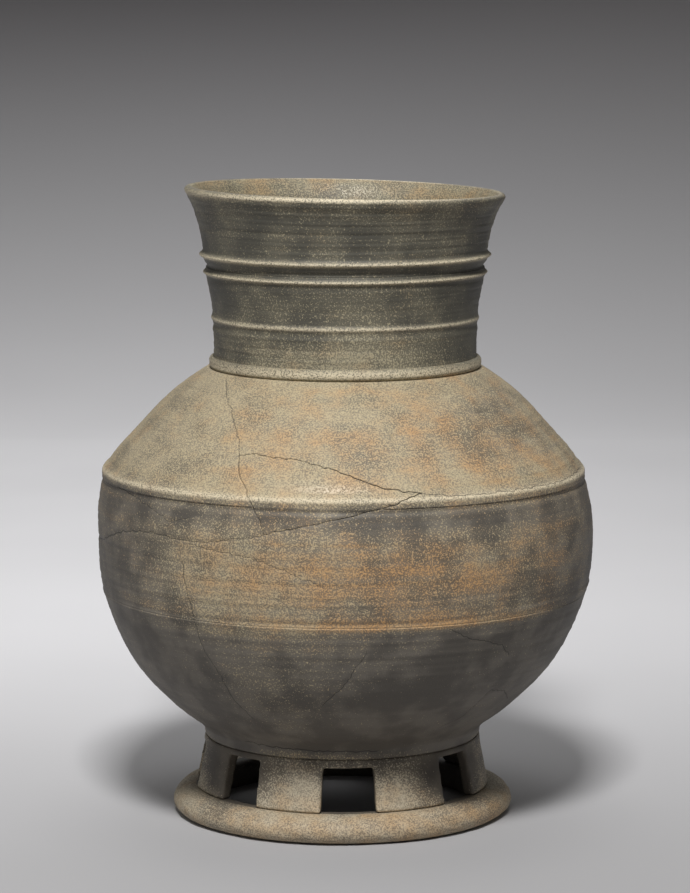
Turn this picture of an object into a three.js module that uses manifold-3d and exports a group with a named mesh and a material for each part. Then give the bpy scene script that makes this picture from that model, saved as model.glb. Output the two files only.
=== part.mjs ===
// Long-necked stoneware jar on a pierced foot, in millimetres, +Z up.
// The origin lies on the axis, on the flat face that the foot ring rests on. The front faces -Y.
import * as THREE from 'three';
import { mergeVertices } from 'three/addons/utils/BufferGeometryUtils.js';
import Module from 'manifold-3d';

const wasm = await Module();
wasm.setup();

// Facets round the axis, and steps along a curved stretch of a profile
const SEGMENTS = 48;
const BOWL_STEPS = 9;
const BELLY_STEPS = 5;
const SHOULDER_STEPS = 5;
const FLARE_STEPS = 5;

// Rolled base ring
const RING_HEIGHT = 15.5;
const RING_RADIUS = 98;
const RING_INNER_RADIUS = 76;
const RING_EDGE = 7;
const RING_TOP_SLOPE = 4;

// Pierced foot: a collar on eight legs, with the windows between them
const FOOT_HEIGHT = 33.5;
const FOOT_BASE_RADIUS = 86;
const FOOT_TOP_RADIUS = 79.5;
const FOOT_WALL = 7;
const WINDOW_COUNT = 8;
const WINDOW_WIDTH = 30;
const WINDOW_HEIGHT = 25.5;

// Body: an ellipse below the widest line, a flatter one above it, then the sloping shoulder
const BODY_WALL = 6.5;
const BELLY_RADIUS = 142;
const BOWL_DEPTH = 137.6;
const BELLY_RISE = 159;
const BOWL_SEAM_DROP = 32;
const BELLY_SEAM_RISE = 33;
const SHOULDER_RISE = 62;
const SHOULDER_TOP_RADIUS = 79.5;
const SHOULDER_CROWN = 6;
const SHOULDER_RIDGE_RISE = 5;
const SHOULDER_RIDGE_DEPTH = 0.9;

// Coil pressed round the foot of the neck
const COIL_HEIGHT = 6.8;
const COIL_RADIUS = 78.4;

// Neck, with a low ridge at its middle and a sharp one under the groove
const NECK_HEIGHT = 58;
const NECK_WALL = 6;
const NECK_RADIUS = 75.4;
const NECK_TOP_RADIUS = 79.9;
const NECK_STRAIGHT = 17;
const NECK_FLARE = 1.5;
const MIDDLE_RIDGE_BELOW_TOP = 29.2;
const UPPER_RIDGE_BELOW_TOP = 3;
const MIDDLE_RIDGE_DEPTH = 1.2;
const UPPER_RIDGE_DEPTH = 1.9;
const RIDGE_HALF_WIDTH = 2;

// Mouth, with the highest ridge just over the groove and a flared lip
const MOUTH_HEIGHT = 44;
const MOUTH_WALL = 5.5;
const MOUTH_RIDGE_HEIGHT = 6.9;
const MOUTH_RIDGE_RADIUS = 83.7;
const MOUTH_BASE_RADIUS = 81.6;
const MOUTH_BASE_HEIGHT = 10;
const LIP_RADIUS = 91.8;
const LIP_WIDTH = 5;
const LIP_ROUNDING = 2;
const LIP_FLARE = 2;

// Clearances: a slanted seat, a coil round the neck, and a broken edge
const SEAT_CLEARANCE = 0.4;
const COIL_CLEARANCE = 0.3;
const CRACK_WIDTH = 0.35;

// Corners of the broken-out sherd, seen from the front: distance right of the axis, height from the
// seam under the shoulder
const SHERD_CORNERS = [
  [-57, 25.5],
  [-33, 25],
  [-7, 20.5],
  [15, 12.5],
  [42, 7.8],
  [11, -2],
  [-45, -14],
  [-51, 6],
];

// Heights that follow from the sizes above
const footTop = RING_HEIGHT + FOOT_HEIGHT;
const bellyHeight = footTop + BOWL_DEPTH * Math.sqrt(1 - (FOOT_TOP_RADIUS / BELLY_RADIUS) ** 2);
const bowlSeam = bellyHeight - BOWL_SEAM_DROP;
const shoulderSeam = bellyHeight + BELLY_SEAM_RISE;
const neckSeat = shoulderSeam + SHOULDER_RISE;
const mouthSeam = neckSeat + NECK_HEIGHT;
const rimHeight = mouthSeam + MOUTH_HEIGHT;

const point = (radius, height) => new THREE.Vector2(radius, height);

// Values from start to end in equal steps, both ends included
function steps(start, end, count) {
  return Array.from({ length: count + 1 }, (unused, index) => start + ((end - start) * index) / count);
}

// Radius of the body below the shoulder at a height, less an inset for its inner face
function bodyRadius(height, inset) {
  const reach = height < bellyHeight ? BOWL_DEPTH : BELLY_RISE;
  const share = (height - bellyHeight) / (reach - inset);
  return (BELLY_RADIUS - inset) * Math.sqrt(1 - share * share);
}

// Height of the bowl's underside at a radius
function bowlUnderside(radius) {
  return bellyHeight - BOWL_DEPTH * Math.sqrt(1 - (radius / BELLY_RADIUS) ** 2);
}

// A body turned about the upright axis from a profile of radii and heights
function turned(profile) {
  return new THREE.LatheGeometry(profile, SEGMENTS).rotateX(Math.PI / 2);
}

// A closed ring of revolution from a profile that goes up outside and down inside
function revolve(profile) {
  return turned([...profile, profile[0]]);
}

// A mesh's triangles as a solid that can be cut
function toSolid(geometry) {
  const bare = geometry.clone();
  bare.deleteAttribute('normal');
  bare.deleteAttribute('uv');
  const merged = mergeVertices(bare);
  const vertProperties = Float32Array.from(merged.attributes.position.array);
  const triVerts = Uint32Array.from(merged.index.array);
  return new wasm.Manifold(new wasm.Mesh({ numProp: 3, vertProperties, triVerts }));
}

// A cut solid's triangles as a mesh geometry
function toGeometry(solid) {
  const mesh = solid.getMesh();
  const geometry = new THREE.BufferGeometry();
  geometry.setAttribute('position', new THREE.BufferAttribute(Float32Array.from(mesh.vertProperties), 3));
  geometry.setIndex(new THREE.BufferAttribute(Uint32Array.from(mesh.triVerts), 1));
  geometry.computeVertexNormals();
  return geometry;
}

// Base ring: flat below and on the seat of the foot, rounded outside, with a slope up to the legs
function footRing() {
  const seatOuter = FOOT_BASE_RADIUS + RING_TOP_SLOPE / 2;
  const bulge = new THREE.EllipseCurve(
    RING_RADIUS - RING_EDGE, RING_EDGE, RING_EDGE, RING_EDGE, -Math.PI / 2, Math.PI / 3,
  );
  const inner = FOOT_BASE_RADIUS - FOOT_WALL - RING_INNER_RADIUS;
  return revolve([
    ...bulge.getPoints(FLARE_STEPS),
    point(seatOuter + RING_TOP_SLOPE, RING_HEIGHT - RING_TOP_SLOPE / 2),
    point(seatOuter, RING_HEIGHT),
    point(RING_INNER_RADIUS + inner, RING_HEIGHT),
    point(RING_INNER_RADIUS, RING_HEIGHT - inner),
    point(RING_INNER_RADIUS, inner),
    point(RING_INNER_RADIUS + inner, 0),
  ]);
}

// Foot wall, with its top cut to the bowl's slope and a window between each pair of legs
function piercedFoot() {
  const topInner = FOOT_TOP_RADIUS - FOOT_WALL;
  const wall = revolve([
    point(FOOT_BASE_RADIUS, RING_HEIGHT),
    point(FOOT_TOP_RADIUS, footTop - SEAT_CLEARANCE),
    point(topInner, bowlUnderside(topInner) - SEAT_CLEARANCE),
    point(FOOT_BASE_RADIUS - FOOT_WALL, RING_HEIGHT),
  ]);
  let foot = toSolid(wall);
  for (const turn of steps(0, 2 * Math.PI, WINDOW_COUNT).slice(1)) {
    const cutter = new THREE.BoxGeometry(WINDOW_WIDTH, RING_RADIUS, 2 * WINDOW_HEIGHT);
    cutter.translate(0, -RING_RADIUS, RING_HEIGHT);
    cutter.rotateZ(turn);
    foot = foot.subtract(toSolid(cutter));
  }
  return toGeometry(foot);
}

// Bowl from its underside on the axis to the seam below the belly, and back down inside
function lowerBowl() {
  const outerTurn = Math.acos(BOWL_SEAM_DROP / BOWL_DEPTH);
  const innerTurn = Math.acos(BOWL_SEAM_DROP / (BOWL_DEPTH - BODY_WALL));
  const meridian = (turn, inset) => point(
    (BELLY_RADIUS - inset) * Math.sin(turn),
    bellyHeight - (BOWL_DEPTH - inset) * Math.cos(turn),
  );
  const outer = steps(0, outerTurn, BOWL_STEPS).map((turn) => meridian(turn, 0));
  const inner = steps(innerTurn, 0, BOWL_STEPS).map((turn) => meridian(turn, BODY_WALL));
  outer[0].x = 0;
  inner[BOWL_STEPS].x = 0;
  return turned([...outer, ...inner]);
}

// Shoulder line from the ridge to the seat of the neck, crowned outwards, moved in by an inset
function shoulderLine(inset) {
  const start = point(bodyRadius(shoulderSeam + SHOULDER_RIDGE_RISE, 0) - inset, shoulderSeam + SHOULDER_RIDGE_RISE);
  const end = point(SHOULDER_TOP_RADIUS - inset, neckSeat);
  const middle = start.clone().add(end).multiplyScalar(1 / 2);
  const crown = point(middle.x + SHOULDER_CROWN, middle.y + SHOULDER_CROWN);
  return new THREE.QuadraticBezierCurve(start, crown, end).getPoints(SHOULDER_STEPS);
}

// Belly and shoulder as one wall, before the seam and the breaks part them
function upperBody() {
  const slopeInset = BODY_WALL * Math.SQRT2;
  const ridgeFoot = shoulderSeam + SHOULDER_RIDGE_RISE / 2;
  const bellyHeights = steps(bowlSeam, shoulderSeam, BELLY_STEPS);
  const outer = bellyHeights.map((height) => point(bodyRadius(height, 0), height));
  const inner = bellyHeights.map((height) => point(bodyRadius(height, BODY_WALL), height));
  return toSolid(revolve([
    ...outer,
    point(bodyRadius(ridgeFoot, SHOULDER_RIDGE_DEPTH), ridgeFoot - SHOULDER_RIDGE_DEPTH),
    point(bodyRadius(ridgeFoot, 0), ridgeFoot),
    ...shoulderLine(0),
    ...shoulderLine(slopeInset).reverse(),
    ...inner.reverse(),
  ]));
}

// Prism through the front wall in the outline of the sherd, grown all round by a margin
function sherdPrism(margin) {
  const corners = SHERD_CORNERS.map(([x, rise]) => point(x, shoulderSeam + rise));
  const grown = corners.map((corner, index) => {
    const before = corners[(index + corners.length - 1) % corners.length];
    const after = corners[(index + 1) % corners.length];
    const edgeIn = corner.clone().sub(before).normalize();
    const edgeOut = after.clone().sub(corner).normalize();
    const mitre = point(-edgeIn.y - edgeOut.y, edgeIn.x + edgeOut.x).normalize();
    const reach = margin / mitre.dot(point(-edgeIn.y, edgeIn.x));
    return corner.clone().addScaledVector(mitre, reach);
  });
  const prism = new THREE.ExtrudeGeometry(new THREE.Shape(grown), { depth: BELLY_RADIUS, bevelEnabled: false });
  prism.rotateX(Math.PI / 2);
  return toSolid(prism);
}

// Block that holds all of the body below the seam under the shoulder
function belowShoulder() {
  const width = 3 * BELLY_RADIUS;
  const block = new THREE.BoxGeometry(width, width, shoulderSeam);
  block.translate(0, 0, shoulderSeam / 2);
  return toSolid(block);
}

// Coil: a half-round ring between the shoulder's flat top and the neck
function neckCoil() {
  const inner = NECK_RADIUS + COIL_CLEARANCE;
  const round = new THREE.EllipseCurve(
    inner, neckSeat + COIL_HEIGHT / 2, COIL_RADIUS - inner, COIL_HEIGHT / 2, -Math.PI / 2, Math.PI / 2,
  );
  return revolve(round.getPoints(FLARE_STEPS));
}

// Outer radius of the neck between its ridges
function neckRadius(height) {
  const share = Math.max(0, height - neckSeat - NECK_STRAIGHT) / (NECK_HEIGHT - NECK_STRAIGHT);
  return NECK_RADIUS + (NECK_TOP_RADIUS - NECK_RADIUS) * share ** NECK_FLARE;
}

// A ridge on the neck: its foot below, its crest and, where there is room, its foot above
function neckRidge(belowTop, depth) {
  const crest = mouthSeam - belowTop;
  const foot = Math.min(RIDGE_HALF_WIDTH, belowTop);
  return [
    point(neckRadius(crest - RIDGE_HALF_WIDTH), crest - RIDGE_HALF_WIDTH),
    point(neckRadius(crest) + depth, crest),
    point(neckRadius(crest + foot), crest + foot),
  ];
}

// Neck wall from the shoulder's top to the groove
function neck() {
  const straight = neckSeat + NECK_STRAIGHT;
  return revolve([
    point(NECK_RADIUS, neckSeat),
    point(NECK_RADIUS, straight),
    ...neckRidge(MIDDLE_RIDGE_BELOW_TOP, MIDDLE_RIDGE_DEPTH),
    point(neckRadius(mouthSeam - MIDDLE_RIDGE_BELOW_TOP / 2), mouthSeam - MIDDLE_RIDGE_BELOW_TOP / 2),
    ...neckRidge(UPPER_RIDGE_BELOW_TOP, UPPER_RIDGE_DEPTH),
    point(NECK_TOP_RADIUS, mouthSeam),
    point(NECK_TOP_RADIUS - NECK_WALL, mouthSeam),
    point(neckRadius(mouthSeam - MIDDLE_RIDGE_BELOW_TOP / 2) - NECK_WALL, mouthSeam - MIDDLE_RIDGE_BELOW_TOP / 2),
    point(neckRadius(mouthSeam - MIDDLE_RIDGE_BELOW_TOP) - NECK_WALL, mouthSeam - MIDDLE_RIDGE_BELOW_TOP),
    point(NECK_RADIUS - NECK_WALL, straight),
    point(NECK_RADIUS - NECK_WALL, neckSeat),
  ]);
}

// Mouth wall from the groove, over the highest ridge, to the rounded lip
function mouth() {
  const base = mouthSeam + MOUTH_BASE_HEIGHT;
  const flare = (share, inset, lipRadius) => point(
    MOUTH_BASE_RADIUS - inset + (lipRadius - MOUTH_BASE_RADIUS + inset) * share ** LIP_FLARE,
    base + (rimHeight - LIP_ROUNDING - base) * share,
  );
  const shares = steps(0, 1, FLARE_STEPS);
  return revolve([
    point(NECK_TOP_RADIUS, mouthSeam),
    point(neckRadius(mouthSeam) + UPPER_RIDGE_DEPTH / 2, mouthSeam + MOUTH_RIDGE_HEIGHT - RIDGE_HALF_WIDTH),
    point(MOUTH_RIDGE_RADIUS, mouthSeam + MOUTH_RIDGE_HEIGHT),
    ...shares.map((share) => flare(share, 0, LIP_RADIUS)),
    point(LIP_RADIUS - LIP_WIDTH / 2, rimHeight),
    ...shares.reverse().map((share) => flare(share, MOUTH_WALL, LIP_RADIUS - LIP_WIDTH)),
    point(NECK_TOP_RADIUS - NECK_WALL, mouthSeam),
  ]);
}

// Finishes: bare grey stoneware with more or less pale ash on it
const stoneware = (name, color, roughness) => new THREE.MeshStandardMaterial({ name, color, roughness, metalness: 0 });
const darkStoneware = () => stoneware('dark_stoneware', 0x57564a, 0.75);
const ashedStoneware = () => stoneware('ashed_stoneware', 0x857a60, 0.65);
const neckStoneware = () => stoneware('neck_stoneware', 0x5f5f52, 0.7);
const paleStoneware = () => stoneware('pale_stoneware', 0x8f8a7c, 0.8);

const jar = new THREE.Group();

function addPiece(name, geometry, material) {
  const mesh = new THREE.Mesh(geometry, material);
  mesh.name = name;
  jar.add(mesh);
}

const wall = upperBody();
const broken = wall.subtract(sherdPrism(CRACK_WIDTH));
const below = belowShoulder();

addPiece('foot_ring', footRing(), paleStoneware());
addPiece('pierced_foot', piercedFoot(), darkStoneware());
addPiece('lower_bowl', lowerBowl(), darkStoneware());
addPiece('belly', toGeometry(broken.intersect(below)), ashedStoneware());
addPiece('shoulder', toGeometry(broken.subtract(below)), ashedStoneware());
addPiece('front_sherd', toGeometry(wall.intersect(sherdPrism(0))), ashedStoneware());
addPiece('neck_coil', neckCoil(), paleStoneware());
addPiece('neck', neck(), neckStoneware());
addPiece('mouth', mouth(), neckStoneware());

export default jar;
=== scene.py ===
"""Long-necked stoneware jar on a pierced foot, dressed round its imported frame.

Metres, +Z up, the front towards -Y. Every piece is a wall of revolution worked out with numpy as a
function of two parameters, the place along its section and the azimuth, with the hand-made swells,
turning marks and breaks added to its radius. Shape values are in millimetres and azimuths in degrees
from the front, towards +X; a grid is turned to metres once, when it goes into its mesh.
"""

import logging
from dataclasses import dataclass
from enum import Enum

import bpy
import numpy as np
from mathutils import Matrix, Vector


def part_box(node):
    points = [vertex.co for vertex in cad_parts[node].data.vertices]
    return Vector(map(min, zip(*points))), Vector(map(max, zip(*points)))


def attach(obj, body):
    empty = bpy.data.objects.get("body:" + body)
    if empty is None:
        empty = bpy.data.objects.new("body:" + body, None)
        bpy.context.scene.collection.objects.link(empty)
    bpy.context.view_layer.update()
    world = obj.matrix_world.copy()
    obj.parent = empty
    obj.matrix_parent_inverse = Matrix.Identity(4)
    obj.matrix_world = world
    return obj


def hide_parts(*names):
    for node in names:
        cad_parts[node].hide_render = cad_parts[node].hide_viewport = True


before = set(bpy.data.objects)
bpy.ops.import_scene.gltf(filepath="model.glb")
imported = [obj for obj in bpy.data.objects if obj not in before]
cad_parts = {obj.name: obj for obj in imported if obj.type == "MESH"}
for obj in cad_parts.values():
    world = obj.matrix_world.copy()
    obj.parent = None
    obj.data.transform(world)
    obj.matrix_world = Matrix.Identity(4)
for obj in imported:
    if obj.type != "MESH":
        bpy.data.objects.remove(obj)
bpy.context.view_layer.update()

MM = 0.001
# Millimetres that a line's points keep from a seam, and the points along a wall's flat edge.
END_MARGIN = 0.1
EDGE_POINTS = 6
log = logging.getLogger("jar")

Points = tuple[tuple[float, float], ...]
Span = tuple[float, float]
Colour = tuple[float, float, float, float]


class Spot(Enum):
    """What the clay's skin shows at a place, each kept as an attribute of the mesh; the ash also carries
    painted shade, and the crest is a painted highlight.
    """

    # Ash, and painted shade where patches take the ash off the foot's and the jar's sides.
    ASH_AND_PAINTED_SHADE = "ash_and_painted_shade"
    WARM = "warm"
    GLOSS = "gloss"
    # Painted highlight along the ridges' crests.
    CREST_HIGHLIGHT = "crest_highlight"


def srgb(red: int, green: int, blue: int) -> Colour:
    """Turns a colour of 0 to 255 a channel into the linear values that a shader takes.

    Args:
        red, green, blue: The colour as it looks on a screen.

    Returns:
        Linear red, green, blue and an alpha of 1.
    """
    share = np.array([red, green, blue]) / 255
    linear = np.where(share <= 0.04045, share / 12.92, ((share + 0.055) / 1.055) ** 2.4)
    return (*(float(value) for value in linear), 1.0)


def smooth_line(points: Points, spacing: float) -> np.ndarray:
    """Spaces points evenly along the natural cubic spline through the given ones.

    The spline's parameter is the chord length, and its second derivatives solve the usual
    three-term equations.

    Args:
        points: Radius and height of each point the line passes through.
        spacing: Distance wanted between the results.

    Returns:
        Rows of radius and height, both ends included.
    """
    knots = np.array(points, float)
    chord = np.hypot(*np.diff(knots, axis=0).T)
    place = np.concatenate([[0], np.cumsum(chord)])
    count = len(knots)
    system = np.eye(count)
    target = np.zeros((count, 2))
    slopes = np.diff(knots, axis=0) / chord[:, None]
    inner = np.arange(1, count - 1)
    system[inner, inner - 1] = chord[:-1]
    system[inner, inner] = 2 * (chord[:-1] + chord[1:])
    system[inner, inner + 1] = chord[1:]
    target[1:-1] = 6 * np.diff(slopes, axis=0)
    bend = np.linalg.solve(system, target)
    steps = max(2, int(np.ceil(place[-1] / spacing)))
    at = np.linspace(0, place[-1], steps + 1)
    span = np.clip(np.searchsorted(place, at, side="right") - 1, 0, count - 2)
    width = chord[span][:, None]
    after = (at - place[span])[:, None]
    before = width - after
    cubic = (bend[span] * before**3 + bend[span + 1] * after**3) / (6 * width)
    straight_low = (knots[span] / width - bend[span] * width / 6) * before
    straight_high = (knots[span + 1] / width - bend[span + 1] * width / 6) * after
    return cubic + straight_low + straight_high


def between(line: np.ndarray, low: float, high: float) -> np.ndarray:
    """Cuts the rising line of radius and height off at two heights, with a point on each.

    Args:
        line: Rows of radius and height, going up.
        low, high: The two heights.

    Returns:
        The part between them, less the points that lie closer to an end than the margin.
    """
    radii = np.interp([low, high], line[:, 1], line[:, 0])
    kept = line[(line[:, 1] > low + END_MARGIN) & (line[:, 1] < high - END_MARGIN)]
    return np.vstack([[radii[0], low], kept, [radii[1], high]])


def bump(height: np.ndarray, centre: float, half_width: float) -> np.ndarray:
    """A round hump of 1 at the centre: e to the minus square of the distance over the half width."""
    return np.exp(-(((height - centre) / half_width) ** 2))


def turn_to(azimuth: np.ndarray, centre: float) -> np.ndarray:
    """Degrees from the centre the short way round, from -180 to 180."""
    return (azimuth - centre + 180) % 360 - 180


@dataclass(frozen=True)
class Outline:
    """The jar's outer line, as radius and height in millimetres, and the seams across it."""

    body: Points = (
        (0, 25.4), (20, 27.0), (40, 31.2), (60, 37.6), (73, 43.2), (77.6, 44.6), (79.4, 46.0),
        (79.9, 49.0), (81.2, 51.5), (84.8, 55), (91.8, 60), (103.2, 70), (113.1, 80), (121.0, 90),
        (129.5, 105), (135.7, 120), (139.3, 132), (141.4, 145), (142.0, 163), (141.3, 180), (139.5, 190),
        (138.6, 196),
    )
    ridge: Points = ((138.6, 196), (138.5, 198), (138.2, 200.4), (137.0, 202.2), (134.9, 204.2))
    slope: Points = (
        (134.9, 204.2), (130.7, 210), (121.8, 220), (112.8, 230), (103.3, 240), (91.3, 250),
        (84.1, 255), (79.3, 258),
    )
    neck: Points = (
        (75.4, 258), (75.4, 267), (75.5, 275), (75.8, 283), (76.3, 291), (77.6, 300), (78.9, 306),
        (79.7, 311), (79.9, 316),
    )
    mouth: Points = (
        (79.9, 316), (80.7, 319), (81.4, 323), (81.8, 328), (83.0, 335), (84.2, 340), (85.8, 345),
        (87.7, 350), (90.3, 355), (91.6, 357.6),
    )
    foot: Points = ((94, 0), (98, 7), (92, 14), (86, 16), (80, 44))
    foot_top: float = 49
    coil: Points = ((78.2, 259), (78.2, 263), (75.4, 265))
    coil_top: float = 266
    body_wall: float = 6.5
    neck_wall: float = 6.0
    mouth_wall: float = 5.5
    cavetto_height: float = 194.3
    cavetto_depth: float = 0.8
    cavetto_reach: float = 1.3

    def body_line(self, spacing: float) -> np.ndarray:
        """The body from the underside's centre to the shoulder seam, with the hollow under the ridge.

        Args:
            spacing: Distance between the points.

        Returns:
            Rows of radius and height.
        """
        line = smooth_line(self.body, spacing)
        line[:, 0] -= self.cavetto_depth * bump(line[:, 1], self.cavetto_height, self.cavetto_reach)
        return line

    def radius_at(self, height: np.ndarray) -> np.ndarray:
        """The outer radius at each height, the foot and its ring included.

        Args:
            height: Millimetres above the floor.

        Returns:
            The radii, in millimetres.
        """
        body = self.body_line(1.0)
        neck = smooth_line(self.neck, 1.0)
        whole = np.vstack([
            self.foot, body[body[:, 1] > self.foot_top], self.shoulder_line(1.0)[1:], self.coil,
            neck[neck[:, 1] > self.coil_top], smooth_line(self.mouth, 1.0)[1:],
        ])
        return np.interp(height, whole[:, 1], whole[:, 0])

    def shoulder_line(self, spacing: float) -> np.ndarray:
        """The ridge and the slope, joined where the ridge runs out."""
        ridge = smooth_line(self.ridge, spacing)
        return np.vstack([ridge[:-1], smooth_line(self.slope, spacing)])


OUTLINE = Outline()


@dataclass(frozen=True)
class Lean:
    """How far the hand-thrown jar strays from its axis, sideways at each height, and its rim's tilt."""

    heights: tuple[float, ...] = (0, 49, 75, 120, 163, 200, 230, 262, 400)
    sideways: tuple[float, ...] = (-1.9, -1.6, -1.3, -0.3, 0.7, -0.7, -0.5, 0, 0)
    tilt_from: float = 318
    tilt_full: float = 358
    tilt_curve: float = 1.3
    tilt: float = 0.0255

    def apply(self, grid: np.ndarray) -> np.ndarray:
        """Shifts each point sideways by its height, and drops the rim towards +X.

        Args:
            grid: Points of x, y and z in millimetres, on the last axis.

        Returns:
            The moved points.
        """
        moved = grid.copy()
        moved[..., 0] += np.interp(grid[..., 2], self.heights, self.sideways)
        share = np.clip((grid[..., 2] - self.tilt_from) / (self.tilt_full - self.tilt_from), 0, 1)
        moved[..., 2] -= self.tilt * share**self.tilt_curve * grid[..., 0]
        return moved


LEAN = Lean()


@dataclass(frozen=True)
class Crack:
    """One break line: the azimuth and height of its corners, and its width in millimetres."""

    name: str
    corners: Points
    width: float


SHERD_LEFT: Points = ((-18.1, 181.8), (-19, 188.6), (-22, 202), (-26.7, 213.3), (-28.3, 221.2))
SHERD_TOP: Points = (
    (-28.3, 221.2), (-23.8, 222.4), (-15.9, 220.9), (-11.6, 220), (-3.2, 216.5), (2.6, 212.1),
    (6.6, 208.6), (9.3, 206.5), (14.9, 204.5), (18.2, 203.8),
)
SHERD_BOTTOM: Points = (
    (18.2, 203.8), (13.8, 200.9), (10.8, 197.9), (4.5, 194.1), (-1.1, 191.3), (-9.9, 186.3),
    (-15.1, 183.2), (-18.1, 181.8),
)
CRACKS: tuple[Crack, ...] = (
    Crack("sherd_left", SHERD_LEFT, 0.5),
    Crack("sherd_top", SHERD_TOP, 0.7),
    Crack("sherd_bottom", SHERD_BOTTOM, 0.7),
    Crack("neck_to_sherd", (
        (-63, 264.5), (-61, 260.4), (-48.9, 252.5), (-39.5, 243.6), (-32.8, 233.4), (-30.4, 228.2),
        (-28.3, 221.2)), 0.6),
    Crack("long_break", (
        (-18.1, 181.8), (-21.3, 179.5), (-25.6, 178.3), (-33.8, 174.7), (-38.1, 174.8),
        (-49.4, 176.7), (-57, 174.9), (-65.3, 170.8), (-73, 164.5), (-84, 161), (-97, 165),
        (-108, 163)), 0.75),
    Crack("ridge_line", (
        (18.2, 203.8), (23.4, 201.8), (30.4, 201.3), (39.5, 201.3), (57.9, 201.2), (70, 202),
        (84, 203.4)), 0.45),
    Crack("left_shoulder", (
        (-66, 196.2), (-62.4, 195.9), (-54.9, 192.7), (-45.5, 186.6), (-43, 184), (-38, 187.3)), 0.5),
    Crack("upper_belly", (
        (-36.6, 173), (-22.9, 169.2), (-16.8, 165.7), (-12.7, 161.2), (-8.7, 158.2), (-5.2, 154)), 0.55),
    Crack("left_belly", (
        (-39.2, 162.4), (-38.5, 152), (-36.7, 137.8), (-36, 126.5), (-35.3, 113.7), (-32.4, 100),
        (-31.3, 85.1), (-28.2, 72.3)), 0.5),
    Crack("front_bowl", (
        (4.9, 115.8), (2.4, 105.6), (-0.3, 95.7), (-2.6, 90.6), (-5.4, 84.5)), 0.65),
    Crack("right_belly", (
        (25.2, 127.4), (29.8, 122.3), (35.8, 118.3), (40.7, 114.5), (44.2, 108.6)), 0.6),
    Crack("right_bowl", (
        (34.2, 63), (40.9, 69.5), (42.4, 79.2), (44.2, 86.4), (50, 84), (58.8, 76)), 0.9),
    Crack("foot_joint", (
        (-41, 52), (-30, 50.5), (-18.6, 51.2), (-11, 50.4), (2, 50.8), (14, 50.2)), 0.9),
)


class Breaks:
    """The break lines laid on the jar's surface, for the distance of any point to the nearest one."""

    STEP = 2.5
    ROUGHNESS = 0.32
    REACH = 3.0
    FAR = 1e3
    LOWEST = 50
    NECK_FOOT = ((78.3, 262), (75.4, 270))

    def __init__(self, cracks: tuple[Crack, ...], seed: int = 11) -> None:
        """Lays every crack on the outline, in short steps that stray a little, as a break does.

        Args:
            cracks: The break lines.
            seed: Seed of the small strays.
        """
        self.random = np.random.default_rng(seed)
        body = OUTLINE.body_line(1.0)
        whole = np.vstack([body[:-1], OUTLINE.shoulder_line(1.0)])
        rising = np.vstack([whole[whole[:, 1] >= self.LOWEST], self.NECK_FOOT])
        self.radii, self.heights = rising.T
        self.lines = {crack.name: self.on_surface(crack.corners) for crack in cracks}
        self.widths = {crack.name: crack.width for crack in cracks}

    def on_surface(self, corners: Points) -> np.ndarray:
        """Points of one crack in space, every few millimetres along it.

        Args:
            corners: Azimuth and height of the crack's corners.

        Returns:
            Rows of x, y and z, in millimetres.
        """
        turns, heights = np.array(corners, float).T
        radii = np.interp(heights, self.heights, self.radii)
        length = np.hypot(np.diff(np.radians(turns)) * radii[1:], np.diff(heights))
        place = np.concatenate([[0], np.cumsum(length)])
        count = max(2, int(place[-1] / self.STEP))
        at = np.linspace(0, place[-1], count + 1)
        stray = self.random.normal(0, self.ROUGHNESS, (2, count + 1))
        stray[:, [0, -1]] = 0
        height = np.interp(at, place, heights) + stray[0]
        radius = np.interp(height, self.heights, self.radii)
        turn = np.radians(np.interp(at, place, turns)) + stray[1] / radius
        return np.stack([radius * np.sin(turn), -radius * np.cos(turn), height], -1)

    def nearest(self, points: np.ndarray) -> tuple[np.ndarray, np.ndarray]:
        """Signed distance of each point to the nearest crack, and that crack's width near it.

        The distance to a segment is that to its closest point. Its sign is the side of the segment
        that the point lies on, seen from outside, so it runs straight through zero on the line.

        Args:
            points: Rows of x, y and z in millimetres.

        Returns:
            The signed distances, and the widths, which are 0 far from every crack.
        """
        best = np.full(len(points), self.FAR)
        side = np.full(len(points), self.FAR)
        width = np.zeros(len(points))
        for name, line in self.lines.items():
            box_low = line.min(0) - self.REACH
            box_high = line.max(0) + self.REACH
            near = np.flatnonzero(np.all((points > box_low) & (points < box_high), axis=1))
            for start, end in zip(line[:-1], line[1:]):
                along = end - start
                offset = points[near] - start
                share = np.clip(offset @ along / (along @ along), 0, 1)
                apart = offset - share[:, None] * along
                distance = np.linalg.norm(apart, axis=1)
                outward = np.array([start[0], start[1], 0])
                sign = np.sign(apart @ np.cross(along, outward))
                closer = distance < best[near]
                chosen = near[closer]
                best[chosen] = distance[closer]
                side[chosen] = (distance * np.where(sign == 0, 1, sign))[closer]
                width[chosen] = self.widths[name]
        width[best > self.REACH] = 0
        return side, width


BREAKS = Breaks(CRACKS)


@dataclass(frozen=True)
class Pit:
    """A small burst or chip: its azimuth, height, radius and depth."""

    turn: float
    height: float
    radius: float
    depth: float


PITS: tuple[Pit, ...] = (
    Pit(14.0, 231.4, 1.5, 1.0), Pit(7.4, 220.2, 1.1, 0.7), Pit(-31, 240, 0.9, 0.5),
    Pit(22, 323, 1.4, 1.0), Pit(29, 188, 1.0, 0.6), Pit(-52, 150, 1.2, 0.6), Pit(52, 110, 1.1, 0.6),
    Pit(140, 225, 1.6, 0.9), Pit(-150, 140, 1.3, 0.8), Pit(175, 182, 1.0, 0.6),
)


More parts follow.
